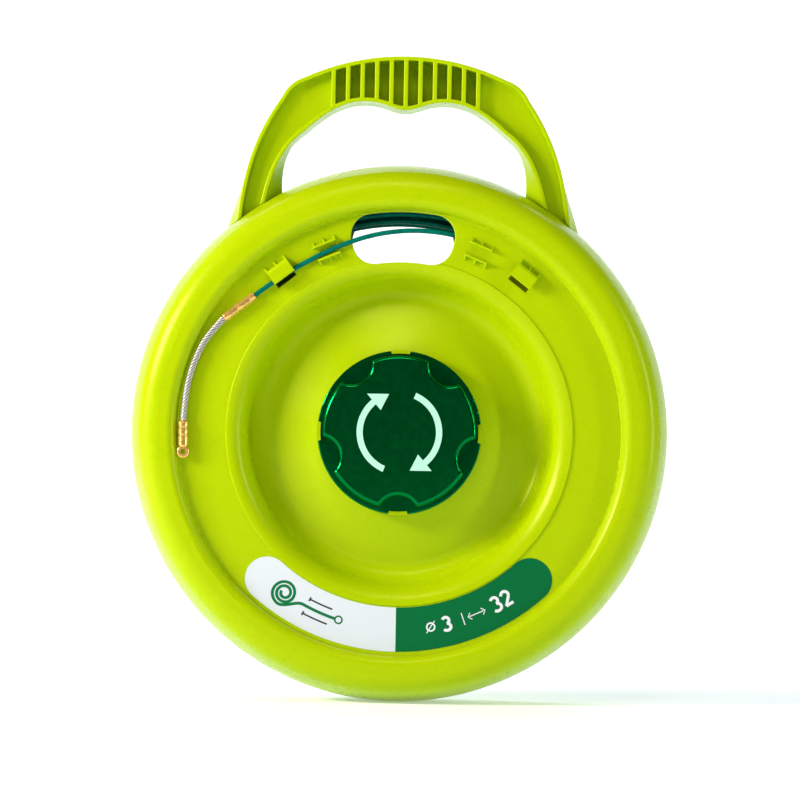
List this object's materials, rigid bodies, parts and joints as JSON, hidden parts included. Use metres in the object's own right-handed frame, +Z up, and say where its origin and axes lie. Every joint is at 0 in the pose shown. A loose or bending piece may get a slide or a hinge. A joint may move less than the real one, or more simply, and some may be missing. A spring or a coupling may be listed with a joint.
{
  "type": "fish tape reel",
  "caption": "Round doughnut-shaped hand reel with a carry handle, a central winding knob and a window through which a glass-fibre fish tape with a steel leader leaves.",
  "frame": {"origin": "lowest point of the rim, under the case axis and on the shells' parting plane, where the upright reel stands", "axes": "+Z up through the case axis to the handle, the front with the tape clips and label faces -Y, +X to the right seen from the front"},
  "size_m": [0.33, 0.076, 0.3965],
  "materials": {
    "case_plastic": "semi-gloss moulded, fine texture",
    "knob_plastic": "high gloss",
    "emblem_plastic": "satin",
    "label_print": "satin printed film",
    "tape_fibre": "smooth coated glass fibre",
    "fitting_brass": "crimped, bright",
    "leader_steel": "twisted wire strands",
    "spindle_steel": "turned",
    "screw_steel": "zinc plated",
    "bush_plastic": "smooth acetal"
  },
  "bodies": {
    "case": {"front_shell": "case_plastic", "rear_shell": "case_plastic", "carry_handle": "case_plastic", "case_screws": "screw_steel", "front_bush": "bush_plastic", "rear_bush": "bush_plastic", "spec_label": "label_print", "tape_coil": "tape_fibre", "tape_lead": "tape_fibre", "tape_ferrule": "fitting_brass", "tail_ferrule": "fitting_brass", "steel_leader": "leader_steel", "eye_fitting": "fitting_brass"},
    "knob": {"thrust_washers": "bush_plastic", "spindle": "spindle_steel", "spindle_washers": "screw_steel", "spindle_screws": "screw_steel", "front_knob_hub": "case_plastic", "front_knob_cap": "knob_plastic", "knob_emblem": "emblem_plastic", "rear_knob_hub": "case_plastic", "rear_knob_cap": "knob_plastic"}
  },
  "joints": [
    {"name": "knob_spin", "type": "hinge", "parent": "case", "child": "knob", "pos_m": [0, 0, 0.165], "axis": [0, -1, 0], "continuous": true}
  ]
}
